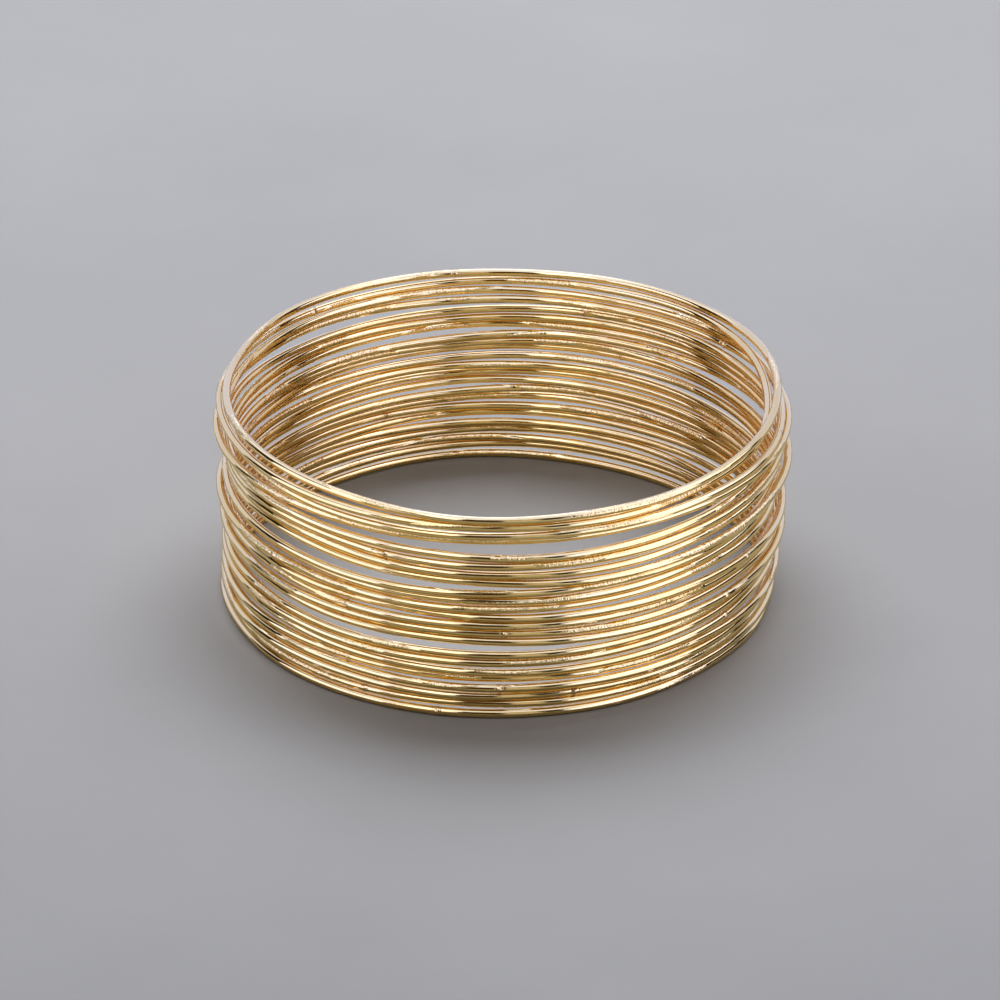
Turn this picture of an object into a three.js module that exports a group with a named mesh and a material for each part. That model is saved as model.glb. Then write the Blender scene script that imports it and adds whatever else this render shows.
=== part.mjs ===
// A bangle that is a stack of thin wire hoops, each one lying loose on the hoops below it.
// Millimetres, +Z up.  The front is toward -Y and the right toward +X.
// Azimuths are in degrees about +Z: 0 is the front, 90 the right, 180 the back, 270 the left.
import * as THREE from "three";

// The wire and the hoop that it is bent into.
const WIRE_DIAMETER = 1.0;
const HOOP_RADIUS = 33.5; // from the middle of the hoop to the middle of the wire: 66 inside

// Room left between hoops that rest on each other.
const CLEARANCE = 0.06;

// The butt weld that closes a hoop: a short collar, proud of the wire at its inner and outer sides.
const WELD_LENGTH = 1.4;
const WELD_STAND_OUT = 0.1;

// How finely a hoop is cut into flats: straight lengths round it, and sides round its section.
const LENGTHS = 29;
const SECTION_SIDES = 8;
const SIDE_ANGLE = (2 * Math.PI) / SECTION_SIDES;

// The section has the area of the round wire, one side flat on top and one flat underneath.
const ROUND_AREA = (Math.PI / 4) * WIRE_DIAMETER ** 2;
const SECTION_RADIUS = Math.sqrt(ROUND_AREA / ((SECTION_SIDES / 2) * Math.sin(SIDE_ANGLE)));
const SECTION_HALF_HEIGHT = SECTION_RADIUS * Math.cos(SIDE_ANGLE / 2);

// How a hoop finds its rest: heights are compared along rays from the middle of the stack.
const RAYS = 180;
const TIP_WEIGHT = 0.25; // how strongly a hoop goes down on the side that it tips to
const TILT_DIRECTIONS = 16;
const FIRST_TILT_STEP = 0.8;
const LAST_TILT_STEP = 0.001;

// The hoops, bottom first.
// shiftRight, shiftBack: where the hoop's middle lies, from the middle of the stack
// oval: added to the radius at the left and right, taken off it at the front and back
// bow, bowToward: how far it is bent out of flat, up toward that azimuth and the one opposite
// tipsTo: the azimuth of the side that goes down
// weldAt: the azimuth of its weld
const HOOPS = [
  // shiftRight, shiftBack, oval, bow, bowToward, tipsTo, weldAt
  [-0.55, 0.0, -0.5, 0.0, 0, 0, 348],
  [-0.3, 0.2, -0.45, 0.12, 0, 0, 332],
  [-0.6, 0.0, -0.35, 0.04, 60, 60, 16],
  [-0.15, -0.1, -0.55, 0.12, 0, 200, 0],
  [-0.05, 0.2, 0.1, 0.04, 60, 90, 327],
  [0.0, 0.2, -0.35, 0.26, 98, 270, 53],
  [-0.3, 0.0, -0.25, 0.14, 92, 230, 205],
  [-0.1, 0.1, -0.35, 0.1, 90, 60, 299],
  [0.4, -0.1, 0.0, 0.26, -25, 165, 52],
  [-0.15, 0.1, -0.05, 0.2, -25, 90, 1],
  [0.1, 0.3, -0.45, 0.14, -20, 120, 327],
  [0.5, 0.0, 0.0, 0.12, 0, 90, 59],
  [-0.4, 0.0, 0.1, 0.26, 112, 270, 307],
  [0.2, 0.4, -0.45, 0.22, 104, 270, 154],
  [-0.05, -0.2, -0.05, 0.18, 92, 300, 172],
  [0.9, -0.25, 0.2, 0.34, 114, 90, 112],
  [0.35, 0.1, -0.2, 0.34, 102, 70, 261],
  [0.45, -0.1, -0.05, 0.3, 96, 180, 335],
  [-0.05, -0.1, -0.05, 0.42, 104, 20, 162],
  [0.2, 0.2, 1.05, 0.2, 60, 280, 126],
  [0.5, 0.0, 0.25, 0.28, 70, 330, 78],
  [-0.8, 0.1, -0.15, 0.34, 115, 190, 222],
  [0.15, 0.0, -0.1, 0.42, 92, 50, 190],
].map(([shiftRight, shiftBack, oval, bow, bowToward, tipsTo, weldAt]) => ({
  shiftRight,
  shiftBack,
  oval,
  bow,
  bowToward: THREE.MathUtils.degToRad(bowToward),
  tipsTo: THREE.MathUtils.degToRad(tipsTo),
  weldAt: THREE.MathUtils.degToRad(weldAt),
}));

// A corner of the bent hoop: x and y from its own middle, and how far bending lifts it.
function corner(hoop, index) {
  const azimuth = (2 * Math.PI * (index + 0.5)) / LENGTHS;
  const radius = HOOP_RADIUS - hoop.oval * Math.cos(2 * azimuth);
  return {
    x: radius * Math.sin(azimuth),
    y: -radius * Math.cos(azimuth),
    lift: hoop.bow * Math.cos(2 * (azimuth - hoop.bowToward)),
  };
}

// Where a ray from (fromX, fromY) at an azimuth crosses the hoop's straight lengths.
function crossing(corners, fromX, fromY, azimuth) {
  const dx = Math.sin(azimuth);
  const dy = -Math.cos(azimuth);
  for (let i = 0; i < LENGTHS; i += 1) {
    const a = corners[i];
    const b = corners[(i + 1) % LENGTHS];
    const sideA = (a.y - fromY) * dx - (a.x - fromX) * dy;
    const sideB = (b.y - fromY) * dx - (b.x - fromX) * dy;
    if (sideA <= 0 && sideB > 0) {
      const t = sideA / (sideA - sideB);
      const x = THREE.MathUtils.lerp(a.x, b.x, t);
      const y = THREE.MathUtils.lerp(a.y, b.y, t);
      const along = (x - fromX) * dx + (y - fromY) * dy;
      if (along > 0) {
        return { x, y, lift: THREE.MathUtils.lerp(a.lift, b.lift, t), along };
      }
    }
  }
  throw new Error("a hoop has no crossing at this azimuth");
}

// The hoop's crossings with every ray from the middle of the stack.
function crossings(hoop, corners) {
  const found = [];
  for (let ray = 0; ray < RAYS; ray += 1) {
    const azimuth = (2 * Math.PI * (ray + 0.5)) / RAYS;
    found.push(crossing(corners, -hoop.shiftRight, -hoop.shiftBack, azimuth));
  }
  return found;
}

// The lowest height that the hoop's middle line may have on each ray, before its own bending.
function lowestHeights(found, laid) {
  const reach = WIRE_DIAMETER + CLEARANCE;
  return found.map((here, ray) => {
    let lowest = SECTION_HALF_HEIGHT;
    for (const below of laid) {
      const apart = here.along - below[ray].along;
      if (Math.abs(apart) < reach) {
        lowest = Math.max(lowest, below[ray].height + Math.sqrt(reach ** 2 - apart ** 2));
      }
    }
    return lowest - here.lift;
  });
}

// The height of the hoop's middle when it is tilted by this much and rests on what is below.
function restingHeight(found, lowest, riseFront, riseRight) {
  let height = -Infinity;
  found.forEach((here, ray) => {
    const rise = (riseRight * here.x - riseFront * here.y) / HOOP_RADIUS;
    height = Math.max(height, lowest[ray] - rise);
  });
  return height;
}

// The tilt at which the hoop comes to rest: its middle as low as it goes, tipped to its own side.
function restingTilt(hoop, found, lowest) {
  const cost = (front, right) => {
    const tipped = front * Math.cos(hoop.tipsTo) + right * Math.sin(hoop.tipsTo);
    return restingHeight(found, lowest, front, right) + TIP_WEIGHT * tipped;
  };
  let tilt = { front: 0, right: 0, cost: cost(0, 0) };
  let step = FIRST_TILT_STEP;
  while (step > LAST_TILT_STEP) {
    let better = null;
    for (let i = 0; i < TILT_DIRECTIONS && !better; i += 1) {
      const turn = (2 * Math.PI * i) / TILT_DIRECTIONS;
      const front = tilt.front + step * Math.cos(turn);
      const right = tilt.right + step * Math.sin(turn);
      const tried = cost(front, right);
      if (tried < tilt.cost) {
        better = { front, right, cost: tried };
      }
    }
    if (better) {
      tilt = better;
    } else {
      step /= 2;
    }
  }
  return tilt;
}

// Lays a hoop on those already laid: its tilt, and the height of its middle.
function lay(hoop, corners, laid) {
  const found = crossings(hoop, corners);
  const lowest = lowestHeights(found, laid);
  const flat = laid.length === 0;
  const tilt = flat ? { front: 0, right: 0 } : restingTilt(hoop, found, lowest);
  const height = restingHeight(found, lowest, tilt.front, tilt.right);
  const heightOf = ({ x, y, lift }) => {
    return height + lift + (tilt.right * x - tilt.front * y) / HOOP_RADIUS;
  };
  laid.push(found.map((here) => ({ along: here.along, height: heightOf(here) })));
  return heightOf;
}

// The azimuths of the hoop's sections: one at each corner, and three more that form the weld.
function sectionAzimuths(hoop) {
  const azimuths = [];
  for (let i = 0; i < LENGTHS; i += 1) {
    azimuths.push((2 * Math.PI * (i + 0.5)) / LENGTHS);
  }
  const weldHalfAngle = WELD_LENGTH / 2 / HOOP_RADIUS;
  for (const side of [-1, 0, 1]) {
    azimuths.push(THREE.MathUtils.euclideanModulo(hoop.weldAt + side * weldHalfAngle, 2 * Math.PI));
  }
  return azimuths.sort((a, b) => a - b);
}

// How far the wire stands out at an azimuth because of the weld.
function weldStandOut(hoop, azimuth) {
  const turn = Math.abs(azimuth - hoop.weldAt);
  const away = Math.min(turn, 2 * Math.PI - turn) * HOOP_RADIUS;
  return WELD_STAND_OUT * Math.max(0, 1 - away / (WELD_LENGTH / 2));
}

// One hoop: a torus of the wire, each of whose sections is moved to its place on the bent, tilted line.
function hoopGeometry(hoop, corners, heightOf) {
  const azimuths = sectionAzimuths(hoop);
  const sections = azimuths.length;
  const geometry = new THREE.TorusGeometry(HOOP_RADIUS, SECTION_RADIUS, SECTION_SIDES, sections);
  const positions = geometry.getAttribute("position");
  for (let i = 0; i < positions.count; i += 1) {
    const azimuth = azimuths[(i % (sections + 1)) % sections];
    const angle = (Math.floor(i / (sections + 1)) + 0.5) * SIDE_ANGLE;
    const middle = crossing(corners, 0, 0, azimuth);
    const across = SECTION_RADIUS * Math.cos(angle);
    const outward = across + weldStandOut(hoop, azimuth) * Math.sign(across);
    positions.setXYZ(
      i,
      hoop.shiftRight + middle.x + outward * Math.sin(azimuth),
      hoop.shiftBack + middle.y - outward * Math.cos(azimuth),
      heightOf(middle) + SECTION_RADIUS * Math.sin(angle),
    );
  }
  geometry.computeVertexNormals();
  return geometry;
}

// The stack, with its middle over the origin and its lowest hoop flat on z = 0.
function buildBangle() {
  const bangle = new THREE.Group();
  bangle.name = "bangle";
  const laid = [];
  HOOPS.forEach((hoop, index) => {
    const corners = Array.from({ length: LENGTHS }, (_, i) => corner(hoop, i));
    const heightOf = lay(hoop, corners, laid);
    const gold = new THREE.MeshStandardMaterial({ color: 0xd8b36c, metalness: 1, roughness: 0.18 });
    gold.name = "gold_wire";
    const mesh = new THREE.Mesh(hoopGeometry(hoop, corners, heightOf), gold);
    mesh.name = `hoop_${String(index + 1).padStart(2, "0")}`;
    bangle.add(mesh);
  });
  const middle = new THREE.Box3().setFromObject(bangle).getCenter(new THREE.Vector3());
  for (const mesh of bangle.children) {
    mesh.geometry.translate(-middle.x, -middle.y, 0);
  }
  return bangle;
}

export default buildBangle();
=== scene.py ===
"""A bangle that is a stack of thin wire hoops in polished pale gold, on a plain pale floor.

Lengths in the tables and the named values are millimetres, and angles are degrees, unless the
line says otherwise.  Azimuth 0 is the front (-Y) and 90 the right (+X).
"""
import math

import bpy
import numpy as np
from mathutils import Matrix, Vector


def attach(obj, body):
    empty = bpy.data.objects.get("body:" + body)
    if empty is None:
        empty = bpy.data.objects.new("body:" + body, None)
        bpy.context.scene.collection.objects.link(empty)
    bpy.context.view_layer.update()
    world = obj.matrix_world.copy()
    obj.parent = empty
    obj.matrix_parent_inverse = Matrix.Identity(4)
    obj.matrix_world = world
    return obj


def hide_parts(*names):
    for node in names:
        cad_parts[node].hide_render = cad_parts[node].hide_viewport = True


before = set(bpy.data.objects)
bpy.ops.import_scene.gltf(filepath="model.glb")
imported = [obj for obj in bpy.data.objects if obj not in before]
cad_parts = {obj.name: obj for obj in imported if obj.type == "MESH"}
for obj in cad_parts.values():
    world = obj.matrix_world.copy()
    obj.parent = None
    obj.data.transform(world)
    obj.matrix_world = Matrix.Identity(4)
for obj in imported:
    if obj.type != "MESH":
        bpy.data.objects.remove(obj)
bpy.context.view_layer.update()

MM = 0.001
TURN = 2 * math.pi
scene = bpy.context.scene


def turned(azimuth):
    """Angles in radians, brought to between minus half a turn and half a turn."""
    return (azimuth + math.pi) % TURN - math.pi


# ---------------------------------------------------------------------------------------------
# The line of a hoop, read from its CAD solid

RING_GAP = math.radians(0.3)  # sections of the solid lie further apart than this
WELD_GAP = math.radians(2.0)  # the sections that form the weld lie closer together than this
LINE_ORDER = 3  # waves round the hoop that its bend is made of

# The wire is bent by hand tools, so it wanders a little between its larger bends.
WAVE_ORDERS = (4, 5, 6, 7, 9)
WAVE_OUT = 0.15  # size of the slowest wave, out from the hoop's middle
WAVE_UP = 0.008  # the same, upward
WAVE_SHARE = (0.4, 1.0)  # each wave's share of its size
WAVE_SEED = 100

# A hoop's waves are tried until its wire runs clear of the hoops below it.
WIRE_RADIUS = 0.51
WAVE_TRIES = 200
WAVE_ROOM = 0.01
TRY_STEP = 100  # between the seeds of a hoop's tries
COURSE = np.arange(360) * TURN / 360  # the azimuths, in radians, where hoops are compared


def harmonics(azimuth, order):
    """The terms of a smooth closed curve at these azimuths."""
    rows = [np.ones_like(azimuth)]
    for k in range(1, order + 1):
        rows += [np.cos(k * azimuth), np.sin(k * azimuth)]
    return np.stack(rows, axis=-1)


def sections(node):
    """The middle of each of the solid's sections, as azimuth, radius and height, and its width."""
    corners = np.unique(np.round([v.co for v in node.data.vertices], 7), axis=0)
    azimuth = np.arctan2(corners[:, 0], -corners[:, 1]) % TURN
    order = np.argsort(azimuth)
    corners, azimuth = corners[order], azimuth[order]
    starts = np.flatnonzero(np.diff(azimuth) > RING_GAP) + 1
    middles, widths = [], []
    for ring in np.split(corners, starts):
        x, y, z = ring.mean(axis=0)
        away = np.hypot(ring[:, 0], ring[:, 1])
        middles.append((math.atan2(x, -y) % TURN, math.hypot(x, y), z))
        widths.append(away.max() - away.min())
    return np.array(middles), np.array(widths)


def small_waves(seed):
    """The wire's own unevenness: how far out and up it wanders at an azimuth, in metres."""
    random = np.random.default_rng(WAVE_SEED + seed)
    phases = random.uniform(0, TURN, (2, len(WAVE_ORDERS)))
    shares = random.uniform(*WAVE_SHARE, (2, len(WAVE_ORDERS)))

    def waves(azimuth):
        result = []
        for row, size in enumerate((WAVE_OUT, WAVE_UP)):
            total = sum(
                shares[row, i] * np.cos(k * azimuth + phases[row, i]) * WAVE_ORDERS[0] / k
                for i, k in enumerate(WAVE_ORDERS)
            )
            result.append(total * size * MM)
        return result

    return waves


class Hoop:
    """One hoop of the stack: its smooth line and its weld."""

    def __init__(self, node, index):
        self.index = index
        self.name = node.name
        middles, widths = sections(node)
        azimuth = middles[:, 0]
        self.weld = azimuth[np.argmax(widths)]
        gaps = np.abs(turned(azimuth[:, None] - azimuth[None, :]))
        np.fill_diagonal(gaps, TURN)
        corners = middles[gaps.min(axis=1) > WELD_GAP]
        terms = harmonics(corners[:, 0], LINE_ORDER)
        self.bend = np.linalg.lstsq(terms, corners[:, 1:], rcond=None)[0]

    def settle(self, below):
        """Takes the first unevenness that keeps the wire clear of those below it, or the best tried."""
        most = -math.inf
        for attempt in range(WAVE_TRIES):
            self.waves = small_waves(self.index + TRY_STEP * attempt)
            self.course = self.line(COURSE)
            room = min((self.distance(other) for other in below), default=math.inf)
            if room > most:
                most, best = room, self.waves
            if room > (2 * WIRE_RADIUS + WAVE_ROOM) * MM:
                break
        self.waves = best
        self.course = self.line(COURSE)

    def distance(self, other):
        """How near the middle lines of two hoops come, at the same place round them."""
        return np.linalg.norm(self.course - other.course, axis=1).min()

    def line(self, azimuth):
        """Points of the middle line, in metres."""
        radius, height = (harmonics(azimuth, LINE_ORDER) @ self.bend).T
        out, up = self.waves(azimuth)
        radius = radius + out
        height = height + up
        return np.stack([radius * np.sin(azimuth), -radius * np.cos(azimuth), height], axis=-1)


# ---------------------------------------------------------------------------------------------
# The wire

SIDES = 32
EVEN_SECTIONS = 320
SMALL_TURN = 1e-4  # radians, over which the wire's direction is measured

# Across the butt weld the sections lie closer together, as far as this from its middle.
WELD_STEP = 0.045
WELD_REACH = 1.1
WELD_SEED = 500

# Its bead stands out all round, more on one side than on the other, and leans a little.
BEAD_SIZE = (0.08, 0.125)
BEAD_WIDTH = (0.14, 0.20)
BEAD_LEAN = 0.12
BEAD_BIAS = 0.35
BEAD_REST = 0.25  # the share of it that is left at the top and underneath, where hoops touch

# Small lumps run round the bead.
LUMP_SIZE = 0.012
LUMP_WIDTH = 0.3
LUMPS_ROUND = 5
LUMP_TWIST = 9

# A groove on each side of it is left by the jaws that hold the wire.
GROOVE_DEPTH = 0.014
GROOVE_PLACE = 0.5
GROOVE_WIDTH = 0.07

# One pit lies in its outer side.
PIT_DEPTH = 0.11
PIT_PLACE = 0.05
PIT_LENGTH = 0.075
PIT_WIDTH = 0.09
PIT_SPREAD = 0.9  # radians up or down from straight out

WELD_DULLNESS = 0.42  # how far along the wire the heat of welding has dulled it


def bell(offset, width):
    """A smooth bump of height 1 that falls off over this width."""
    return np.exp(-((offset / width) ** 2))


def section_azimuths(hoop, radius):
    """Even steps round the hoop, and fine ones across the weld."""
    reach = WELD_REACH * MM / radius
    step = WELD_STEP * MM / radius
    even = np.arange(EVEN_SECTIONS) * TURN / EVEN_SECTIONS
    away = np.abs(turned(even - hoop.weld))
    fine = hoop.weld + np.arange(-reach, reach + step / 2, step)
    return np.sort(np.concatenate([even[away > reach + step], fine % TURN]))


def weld_profile(hoop, along, angle):
    """How far the wire's skin stands out at the weld, in millimetres."""
    random = np.random.default_rng(WELD_SEED + hoop.index)
    bead_size = random.uniform(*BEAD_SIZE)
    bead_side = random.uniform(0, TURN)
    bead_width = random.uniform(*BEAD_WIDTH)
    lean = random.uniform(-BEAD_LEAN, BEAD_LEAN)
    pit_angle = random.uniform(-PIT_SPREAD, PIT_SPREAD)
    side = np.cos(angle - bead_side)
    place = along + lean * side
    bead = bead_size * (1 + BEAD_BIAS * side) * bell(place, bead_width)
    ripple = np.cos(LUMPS_ROUND * angle + LUMP_TWIST * along / bead_width + bead_side)
    lumps = LUMP_SIZE * ripple * bell(place, LUMP_WIDTH)
    grooves = bell(place - GROOVE_PLACE, GROOVE_WIDTH) + bell(place + GROOVE_PLACE, GROOVE_WIDTH)
    off = turned(angle - pit_angle) * WIRE_RADIUS
    pit = bell(along - PIT_PLACE, PIT_LENGTH) * bell(off, PIT_WIDTH)
    rest = BEAD_REST + (1 - BEAD_REST) * np.cos(angle) ** 2
    return (bead + lumps) * rest - GROOVE_DEPTH * grooves - PIT_DEPTH * pit


def unit(vectors):
    return vectors / np.linalg.norm(vectors, axis=1, keepdims=True)


def skin_points(hoop, azimuth, along):
    """The corners of the tube, a row of them for each section, in metres."""
    tangent = unit(hoop.line(azimuth + SMALL_TURN) - hoop.line(azimuth - SMALL_TURN))
    outward = unit(np.cross(tangent, (0, 0, 1)))
    upward = np.cross(outward, tangent)
    angle = np.arange(SIDES) * TURN / SIDES
    skin = (WIRE_RADIUS + weld_profile(hoop, along[:, None], angle[None, :])) * MM
    return (
        hoop.line(azimuth)[:, None, :]
        + skin[:, :, None] * np.cos(angle)[None, :, None] * outward[:, None, :]
        + skin[:, :, None] * np.sin(angle)[None, :, None] * upward[:, None, :]
    )


def tube_faces(rings):
    """The four corners of each face of a closed tube."""
    ring = np.arange(rings)[:, None] * SIDES
    next_ring = np.roll(ring, -1, axis=0)
    side = np.arange(SIDES)[None, :]
    next_side = np.roll(side, -1, axis=1)
    corners = [ring + side, next_ring + side, next_ring + next_side, ring + next_side]
    return np.stack(corners, axis=-1).reshape(-1, 4)


def wire_coordinates(hoop, azimuth, radius):
    """Each face corner's place along the wire from its weld, and round it, in millimetres."""
    steps = np.diff(np.append(azimuth, azimuth[0] + TURN))
    start = ((azimuth - hoop.weld) % TURN) * radius / MM
    end = start + steps * radius / MM
    around = np.arange(SIDES + 1) * TURN / SIDES * WIRE_RADIUS
    uv = np.empty((len(azimuth), SIDES, 4, 2))
    uv[..., 0] = np.stack([start, end, end, start], axis=-1)[:, None, :]
    uv[..., 1] = np.stack([around[:-1], around[:-1], around[1:], around[1:]], axis=-1)[None, :, :]
    return uv


def wire_mesh(hoop):
    """The closed tube of one hoop, with its coordinates and how near the weld each point lies."""
    radius = hoop.bend[0, 0]
    azimuth = section_azimuths(hoop, radius)
    along = turned(azimuth - hoop.weld) * radius / MM
    points = skin_points(hoop, azimuth, along)
    faces = tube_faces(len(azimuth))
    mesh = bpy.data.meshes.new(hoop.name + "_wire")
    mesh.from_pydata(points.reshape(-1, 3).tolist(), [], faces.tolist())
    mesh.polygons.foreach_set("use_smooth", [True] * len(faces))
    layer = mesh.uv_layers.new(name="wire")
    layer.data.foreach_set("uv", wire_coordinates(hoop, azimuth, radius).astype(np.float32).ravel())
    heat = bell(along, WELD_DULLNESS)
    attribute = mesh.attributes.new("weld", "FLOAT", "POINT")
    attribute.data.foreach_set("value", np.repeat(heat, SIDES).astype(np.float32))
    mesh.validate()
    return mesh


# ---------------------------------------------------------------------------------------------
# Materials


def new_material(name):
    material = bpy.data.materials.new(name)
    material.use_nodes = True
    tree = material.node_tree
    return material, tree, tree.nodes["Principled BSDF"]


def math_node(tree, operation, *values):
    node = tree.nodes.new("ShaderNodeMath")
    node.operation = operation
    for socket, value in zip(node.inputs, values):
        if isinstance(value, (int, float)):
            socket.default_value = value
        else:
            tree.links.new(value, socket)
    return node.outputs[0]


def ramp_node(tree, value, places, colors):
    """A colour, or a grey, that runs from the first to the second between two values."""
    node = tree.nodes.new("ShaderNodeValToRGB")
    tree.links.new(value, node.inputs[0])
    for element, place, color in zip(node.color_ramp.elements, places, colors):
        element.position = place
        element.color = (*color, 1) if isinstance(color, tuple) else (color, color, color, 1)
    return node.outputs[0]


def noise_node(tree, vector, scale, detail, roughness):
    node = tree.nodes.new("ShaderNodeTexNoise")
    node.inputs["Scale"].default_value = scale
    node.inputs["Detail"].default_value = detail
    node.inputs["Roughness"].default_value = roughness
    tree.links.new(vector, node.inputs["Vector"])
    return node.outputs[0]


def wire_noise(tree, pattern, shift):
    """Noise on the wire's own coordinates, moved by shift."""
    along, around, detail, roughness = pattern
    uv = tree.nodes.new("ShaderNodeUVMap")
    uv.uv_map = "wire"
    mapping = tree.nodes.new("ShaderNodeMapping")
    mapping.inputs["Scale"].default_value = (along, around, 1)
    mapping.inputs["Location"].default_value = tuple(shift * share for share in SHIFT_SHARES)
    tree.links.new(uv.outputs[0], mapping.inputs["Vector"])
    return noise_node(tree, mapping.outputs[0], 1.0, detail, roughness)


def bump_node(tree, height, strength, distance, normal=None):
    node = tree.nodes.new("ShaderNodeBump")
    node.inputs["Strength"].default_value = strength
    node.inputs["Distance"].default_value = distance * MM
    tree.links.new(height, node.inputs["Height"])
    if normal is not None:
        tree.links.new(normal, node.inputs["Normal"])
    return node.outputs[0]


PALE_GOLD = (0.86, 0.63, 0.23)
DEEP_GOLD = (0.82, 0.57, 0.175)
WELD_GOLD = (0.55, 0.34, 0.13)
WELD_TINT = 0.45  # share of the weld's own colour at its middle
WELD_ROUGHNESS = 0.12  # added at its middle
LEAST_RUBBED, MOST_RUBBED = 0.025, 0.07  # roughness
LINE_ROUGHNESS = 0.03  # added by the drawn lines
LINE_STRENGTH, LINE_DEPTH = 0.25, 0.02
MARK_STRENGTH, MARK_DEPTH = 1.0, 0.14

# Features to the millimetre along the wire and round it, detail, roughness of the noise.
PATCHES = (0.06, 0.25, 2.0, 0.5)
LINES = (0.12, 9.0, 4.0, 0.6)
RUBS = (0.9, 2.2, 5.0, 0.65)
MARKED_STRETCHES = (0.075, 0.4, 1.0, 0.5)
MARKS = (3.4, 1.2, 2.0, 0.7)

# The noise's values between which a patch, a rub or a marked stretch begins.
PATCH_EDGE = (0.35, 0.62)
RUB_EDGE = (0.42, 0.75)
STRETCH_EDGE = (0.58, 0.62)

# Each hoop has its own part of the patterns.
PATTERN_SHIFT = 17.0
STRETCH_SHIFT = 5
SHIFT_SHARES = (1, 0.37, 1.7)


def gold_material(hoop):
    """Polished gold plate on drawn wire.

    It has fine lines along it, rubbed patches, stretches of small marks from the drawing tool,
    and a dull ring at the weld.
    """
    material, tree, shader = new_material(hoop.name + "_gold")
    shift = PATTERN_SHIFT * hoop.index
    patches = wire_noise(tree, PATCHES, shift)
    lines = wire_noise(tree, LINES, shift)
    rubs = wire_noise(tree, RUBS, shift)
    stretches = wire_noise(tree, MARKED_STRETCHES, shift + STRETCH_SHIFT)
    marks = wire_noise(tree, MARKS, shift)
    weld = tree.nodes.new("ShaderNodeAttribute")
    weld.attribute_name = "weld"
    heat = weld.outputs["Fac"]

    gold = ramp_node(tree, patches, PATCH_EDGE, (DEEP_GOLD, PALE_GOLD))
    mix = tree.nodes.new("ShaderNodeMix")
    mix.data_type = "RGBA"
    tree.links.new(math_node(tree, "MULTIPLY", heat, WELD_TINT), mix.inputs["Factor"])
    tree.links.new(gold, mix.inputs["A"])
    mix.inputs["B"].default_value = (*WELD_GOLD, 1)
    tree.links.new(mix.outputs["Result"], shader.inputs["Base Color"])
    shader.inputs["Metallic"].default_value = 1.0

    rough = ramp_node(tree, rubs, RUB_EDGE, (LEAST_RUBBED, MOST_RUBBED))
    rough = math_node(tree, "MULTIPLY_ADD", lines, LINE_ROUGHNESS, rough)
    rough = math_node(tree, "MULTIPLY_ADD", heat, WELD_ROUGHNESS, rough)
    tree.links.new(rough, shader.inputs["Roughness"])

    marked = ramp_node(tree, stretches, STRETCH_EDGE, (0.0, 1.0))
    drawn = bump_node(tree, lines, LINE_STRENGTH, LINE_DEPTH)
    height = math_node(tree, "MULTIPLY", marks, marked)
    bumps = bump_node(tree, height, MARK_STRENGTH, MARK_DEPTH, drawn)
    tree.links.new(bumps, shader.inputs["Normal"])
    return material


STONE_DARK = (0.415, 0.415, 0.414)
STONE_LIGHT = (0.468, 0.468, 0.467)
STONE_ROUGHNESS = 0.9
STONE_SHEEN = 0.1
CLOUDS = (9.0, 6.0, 0.6)  # to the metre, detail, roughness of the noise
CLOUD_EDGE = (0.3, 0.7)


def floor_material():
    """Plain pale stone, very slightly clouded."""
    material, tree, shader = new_material("floor")
    where = tree.nodes.new("ShaderNodeTexCoord").outputs["Object"]
    clouds = noise_node(tree, where, *CLOUDS)
    color = ramp_node(tree, clouds, CLOUD_EDGE, (STONE_DARK, STONE_LIGHT))
    tree.links.new(color, shader.inputs["Base Color"])
    shader.inputs["Roughness"].default_value = STONE_ROUGHNESS
    shader.inputs["Specular IOR Level"].default_value = STONE_SHEEN
    return material


# ---------------------------------------------------------------------------------------------
# The stack

hoops = []
for number, (name, node) in enumerate(sorted(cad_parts.items()), start=1):
    hoop = Hoop(node, number)
    hoop.settle(hoops)
    hoops.append(hoop)
    piece = bpy.data.objects.new(name + "_wire", wire_mesh(hoop))
    scene.collection.objects.link(piece)
    piece.data.materials.append(gold_material(hoop))
    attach(piece, "root")
    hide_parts(name)

# ---------------------------------------------------------------------------------------------
# The lights

RIGHT = Vector((1, 0, 0))
BACK = Vector((0, 1, 0))
UP = Vector((0, 0, 1))
CARD_HEIGHT = 0.3  # over the floor


def direction(azimuth, elevation):
    a, e = math.radians(azimuth), math.radians(elevation)
    return Vector((math.sin(a) * math.cos(e), -math.cos(a) * math.cos(e), math.sin(e)))


def panel(name, centre, across, up, width, height, radiance, color, floor_only=False):
    """A rectangle of light, which either only the gold mirrors or only the floor is lit by.

    radiance is what a mirror would show of it, and across x up points away from its face.
    """
    light = bpy.data.lights.new(name, "AREA")
    light.shape = "RECTANGLE"
    light.size = width * MM
    light.size_y = height * MM
    light.energy = radiance * math.pi * light.size * light.size_y
    light.color = color
    lamp = bpy.data.objects.new(name, light)
    lamp.rotation_euler = Matrix((across, up, across.cross(up))).transposed().to_euler()
    lamp.location = centre * MM
    lamp.visible_camera = False
    lamp.visible_diffuse = floor_only
    lamp.visible_glossy = not floor_only
    scene.collection.objects.link(lamp)


def wall(name, foot, bottom, top, radiance, color):
    """An upright panel over a line in plan, from start to end: it shines to that line's right."""
    start, end = (Vector((*point, 0)) for point in foot)
    along = end - start
    centre = (start + end) / 2 + UP * (bottom + top) / 2
    panel(name, centre, -along.normalized(), UP, along.length, top - bottom, radiance, color)


def card(name, foot, depth, radiance, color):
    """A bright card that lies on the floor, from the foot of a wall inward by its depth."""
    start, end = (Vector((*point, 0)) for point in foot)
    along = (end - start).normalized()
    inward = Vector((along.y, -along.x, 0))
    centre = (start + end) / 2 + inward * depth / 2 + UP * CARD_HEIGHT
    panel(name, centre, -along, -inward, (end - start).length, depth, radiance, color)


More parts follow.
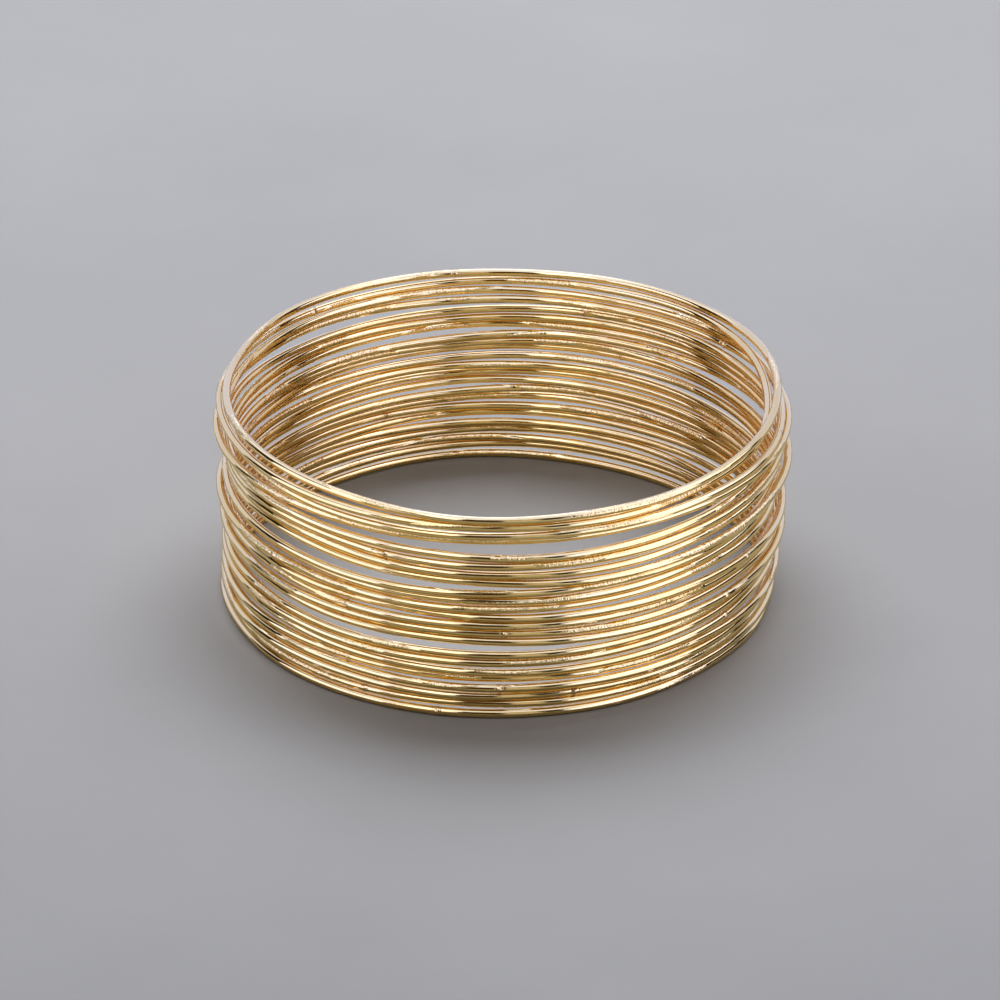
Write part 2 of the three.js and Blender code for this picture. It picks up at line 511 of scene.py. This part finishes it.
# The panels' colours are as blue as gold is yellow, so a first reflection looks nearly white.
DAYLIGHT = (0.426, 0.475, 1.0)
IVORY = (0.51, 0.58, 1.0)
SKY = (0.405, 0.475, 1.0)
PALE = (0.80, 0.80, 1.0)
BROWN = (1.0, 0.62, 0.36)
OLIVE = (0.9, 1.0, 0.7)
COOL = (0.94, 0.95, 1.0)
NEUTRAL = (1.0, 1.0, 1.0)

# A light tent with dark slits between its cloths: where the feet of four of them start and end.
LEFT_FOOT = ((-173, -173), (-264, 14))
FRONT_LEFT_FOOT = ((-100, -340), (-171, -178))
FRONT_FOOT = ((112, -370), (22, -380))
RIGHT_FOOT = ((128, -38), (136, -280))

# wall: name, foot, bottom, top, radiance, color
# card: name, foot, depth, radiance, color
wall("left", LEFT_FOOT, 0, 210, 3.5, DAYLIGHT)
card("left_card", LEFT_FOOT, 105, 2.6, DAYLIGHT)
wall("front_left", FRONT_LEFT_FOOT, 95, 420, 3.0, IVORY)
wall("front_left_foot", FRONT_LEFT_FOOT, 0, 95, 0.22, BROWN)
wall("front_gap", (FRONT_FOOT[1], FRONT_LEFT_FOOT[0]), 0, 420, 0.045, BROWN)
wall("front", FRONT_FOOT, 0, 380, 0.72, PALE)
wall("right_gap", (RIGHT_FOOT[1], FRONT_FOOT[0]), 0, 380, 0.03, OLIVE)
wall("right", RIGHT_FOOT, 0, 170, 3.7, DAYLIGHT)
card("right_card", RIGHT_FOOT, 80, 2.8, DAYLIGHT)
wall("right_rear", ((124, 37), (128, -34)), 55, 300, 3.7, DAYLIGHT)
wall("rear_right", ((240, 330), (310, 165)), 0, 350, 1.85, SKY)
wall("rear", ((-235, 330), (240, 330)), 0, 350, 1.85, SKY)
wall("rear_left", ((-246, 102), (-235, 330)), 0, 350, 1.85, SKY)

# name, centre, across, up, width, height, radiance, color
panel("canopy", Vector((0, 10, 350)), RIGHT, BACK, 560, 640, 2.6, SKY)
panel("window", direction(177, 60) * 340, RIGHT, direction(180, -30), 130, 120, 4.2, SKY)

# These two light the floor alone.
panel("key", direction(180, 58) * 640, RIGHT, direction(180, -32), 730, 518, 4.0, COOL, True)
panel("fill", Vector((0, -100, 450)), RIGHT, BACK, 1200, 900, 0.32, NEUTRAL, True)

# What shows between the cloths.
SLIT_BROWN = (0.025, 0.018, 0.012)
world = bpy.data.worlds.new("studio")
world.use_nodes = True
background = world.node_tree.nodes["Background"]
background.inputs["Color"].default_value = (*SLIT_BROWN, 1)
background.inputs["Strength"].default_value = 1.0
scene.world = world

# ---------------------------------------------------------------------------------------------
# The camera and the floor

# The camera stands in front and looks down a little, from far enough off to see the rim as a
# flat ellipse.
CAMERA_ELEVATION = 27.4
CAMERA_DISTANCE = 1.2993  # metres
CAMERA_AIM = Vector((-0.36, -0.16, 11.54)) * MM
CAMERA_LENS = 384.4
CAMERA_SENSOR = 36
CAMERA_CLIP = (0.1, 20)  # metres

camera = bpy.data.objects.new("camera", bpy.data.cameras.new("camera"))
camera.data.sensor_width = CAMERA_SENSOR
camera.data.lens = CAMERA_LENS
camera.data.clip_start, camera.data.clip_end = CAMERA_CLIP
sight = direction(0, CAMERA_ELEVATION)
camera.location = CAMERA_AIM + sight * CAMERA_DISTANCE
camera.rotation_euler = sight.to_track_quat("Z", "Y").to_euler()
scene.collection.objects.link(camera)
scene.camera = camera
scene.view_settings.view_transform = "Standard"

# Light goes from wire to wire many times before it leaves the stack.
scene.cycles.max_bounces = 16
scene.cycles.glossy_bounces = 14

FLOOR_HALF = 2000
FLOOR_HEIGHT = -0.045  # just under the lowest wire


def floor():
    half = FLOOR_HALF * MM
    corners = [(-half, -half, 0), (half, -half, 0), (half, half, 0), (-half, half, 0)]
    mesh = bpy.data.meshes.new("floor")
    mesh.from_pydata(corners, [], [(0, 1, 2, 3)])
    plane = bpy.data.objects.new("floor", mesh)
    plane.location.z = FLOOR_HEIGHT * MM
    scene.collection.objects.link(plane)
    plane.data.materials.append(floor_material())


floor()
